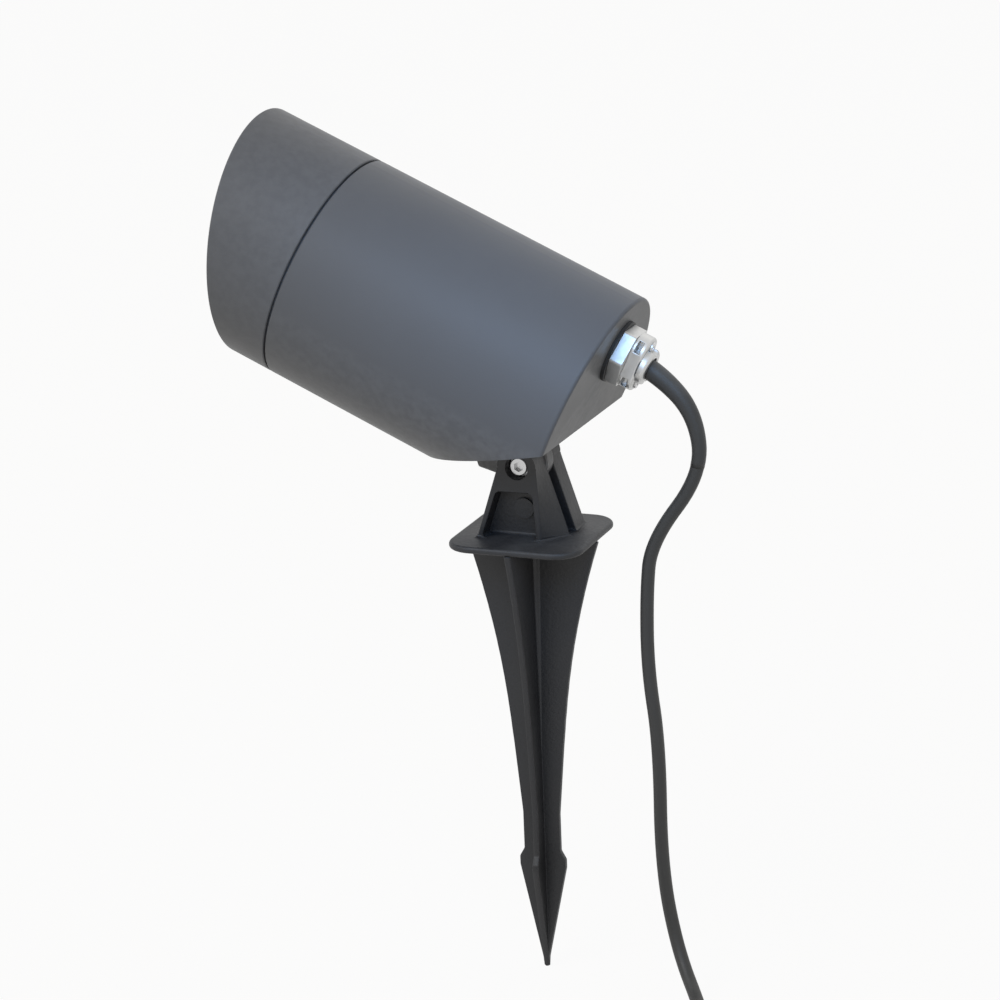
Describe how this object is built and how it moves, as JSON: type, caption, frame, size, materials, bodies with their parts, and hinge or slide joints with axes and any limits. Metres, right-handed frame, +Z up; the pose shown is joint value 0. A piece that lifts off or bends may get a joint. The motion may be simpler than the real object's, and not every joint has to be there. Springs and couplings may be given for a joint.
{
  "type": "garden spike spotlight",
  "caption": "Outdoor spotlight with a cylindrical hooded head that tilts on two ears above a square flange and a cross-shaped ground spike, with a cable gland and lead.",
  "frame": {"origin": "on the spike's axis, on the underside of the flange, where the ground holds it", "axes": "+Z up along the spike, -X is the side that the light aims towards, the tilt axis is parallel to Y"},
  "size_m": [0.2259, 0.2049, 0.3916],
  "materials": {
    "housing_coat": "fine textured anthracite powder coat",
    "black_moulding": "matt moulded",
    "stainless": "satin",
    "cast_lug": "fine textured anthracite powder coat",
    "black_rubber": "matt",
    "clear_glass": "clear polished",
    "bright_reflector": "polished",
    "board_white": "matt",
    "phosphor": "satin",
    "holder_white": "matt",
    "raw_aluminium": "machined",
    "driver_case": "satin",
    "terminal_plastic": "satin",
    "nickel": "bright nickel plate",
    "cord_rubber": "matt dark grey-black",
    "tie_plastic": "matt",
    "plug_plastic": "matt",
    "pin_brass": "bright nickel plate"
  },
  "bodies": {
    "spike": {"spike_bracket": "black_moulding", "pivot_screw": "stainless", "pivot_washer": "stainless", "pivot_nut": "stainless", "cord_lead": "cord_rubber", "cord_coil": "cord_rubber", "cord_tie": "tie_plastic", "plug_body": "plug_plastic", "plug_pin_1": "pin_brass", "plug_pin_2": "pin_brass"},
    "head": {"lug_screw_1": "stainless", "lug_screw_2": "stainless", "hood_lock_screw": "stainless", "holder_screw_1": "stainless", "holder_screw_2": "stainless", "spreader_screw_1": "stainless", "spreader_screw_2": "stainless", "spreader_screw_3": "stainless", "bracket_screw_1": "stainless", "bracket_screw_2": "stainless", "clamp_screw_1": "stainless", "clamp_screw_2": "stainless", "housing": "housing_coat", "front_hood": "housing_coat", "tilt_lug": "cast_lug", "hood_gasket": "black_rubber", "glass_gasket": "black_rubber", "gland_washer": "black_rubber", "gland_seal": "black_rubber", "front_glass": "clear_glass", "reflector": "bright_reflector", "led_board": "board_white", "led_emitter": "phosphor", "led_holder": "holder_white", "heat_spreader": "raw_aluminium", "driver_bracket": "raw_aluminium", "led_driver": "driver_case", "terminal_block": "terminal_plastic", "gland_body": "nickel", "gland_locknut": "nickel", "gland_cap": "nickel", "cord_boot": "cord_rubber"}
  },
  "joints": [
    {"name": "head_tilt", "type": "hinge", "parent": "spike", "child": "head", "pos_m": [0, 0, 0.0355], "axis": [0, 1, 0], "range_deg": [-50, 65], "deforming": ["cord_lead"]}
  ]
}
